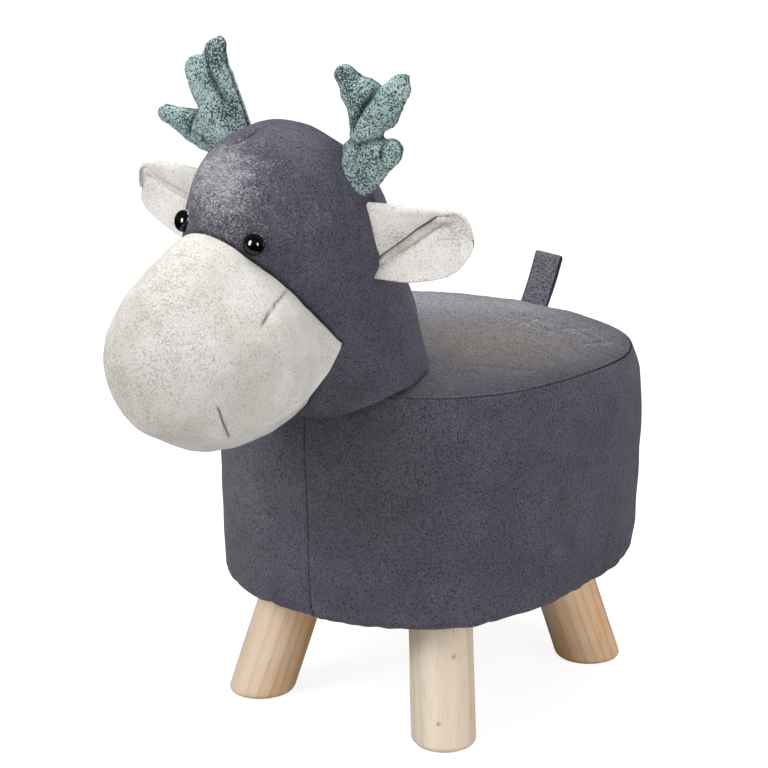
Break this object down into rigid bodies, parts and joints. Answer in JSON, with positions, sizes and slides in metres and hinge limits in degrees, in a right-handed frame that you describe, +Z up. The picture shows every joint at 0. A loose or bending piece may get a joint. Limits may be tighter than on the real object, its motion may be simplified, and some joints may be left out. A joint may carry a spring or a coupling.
{
  "type": "animal footstool",
  "caption": "Upholstered deer-shaped footstool for a child's room: oval padded seat in blue-grey suede cloth, splayed pine legs, stuffed head with antlers.",
  "frame": {"origin": "on the floor, under the middle of the bounding box", "axes": "+Z up, -Y the way the animal faces, +X the animal's left"},
  "size_m": [0.2964, 0.5398, 0.5389],
  "materials": {
    "grey_suede": "distressed blue-grey suede cloth, soft sheen",
    "pale_suede": "off-white suede cloth with a fine brown speckle",
    "teal_felt": "speckled grey-teal cloth, matte",
    "pine": "bare sanded pine, satin",
    "plywood": "bare plywood",
    "hardboard": "bare hardboard",
    "foam": "open-cell polyurethane foam",
    "wadding": "polyester wadding",
    "liner": "black non-woven sheet",
    "black_plastic": "gloss black",
    "white_plastic": "moulded, unpainted",
    "zinc_steel": "zinc plated"
  },
  "bodies": {
    "root": {"antler_left": "teal_felt", "antler_right": "teal_felt", "base_board": "plywood", "dust_cover": "liner", "ear_left": "pale_suede", "ear_right": "pale_suede", "eye_left": "black_plastic", "eye_right": "black_plastic", "eye_washer_left": "white_plastic", "eye_washer_right": "white_plastic", "frame_post_front_left": "pine", "frame_post_front_right": "pine", "frame_post_rear_left": "pine", "frame_post_rear_right": "pine", "head_back_cover": "grey_suede", "head_face_cover": "grey_suede", "head_filling": "wadding", "leg_bolt_front_left": "zinc_steel", "leg_bolt_front_right": "zinc_steel", "leg_bolt_rear_left": "zinc_steel", "leg_bolt_rear_right": "zinc_steel", "leg_front_left": "pine", "leg_front_right": "pine", "leg_rear_left": "pine", "leg_rear_right": "pine", "lower_screw_front_left": "zinc_steel", "lower_screw_front_right": "zinc_steel", "lower_screw_rear_left": "zinc_steel", "lower_screw_rear_right": "zinc_steel", "muzzle_cover": "pale_suede", "seat_board": "plywood", "seat_foam": "foam", "seat_top_cover": "grey_suede", "side_band_cover": "grey_suede", "side_foam": "foam", "side_wall": "hardboard", "tail_loop": "grey_suede", "tee_nut_front_left": "zinc_steel", "tee_nut_front_right": "zinc_steel", "tee_nut_rear_left": "zinc_steel", "tee_nut_rear_right": "zinc_steel", "upper_screw_front_left": "zinc_steel", "upper_screw_front_right": "zinc_steel", "upper_screw_rear_left": "zinc_steel", "upper_screw_rear_right": "zinc_steel"}
  },
  "joints": []
}
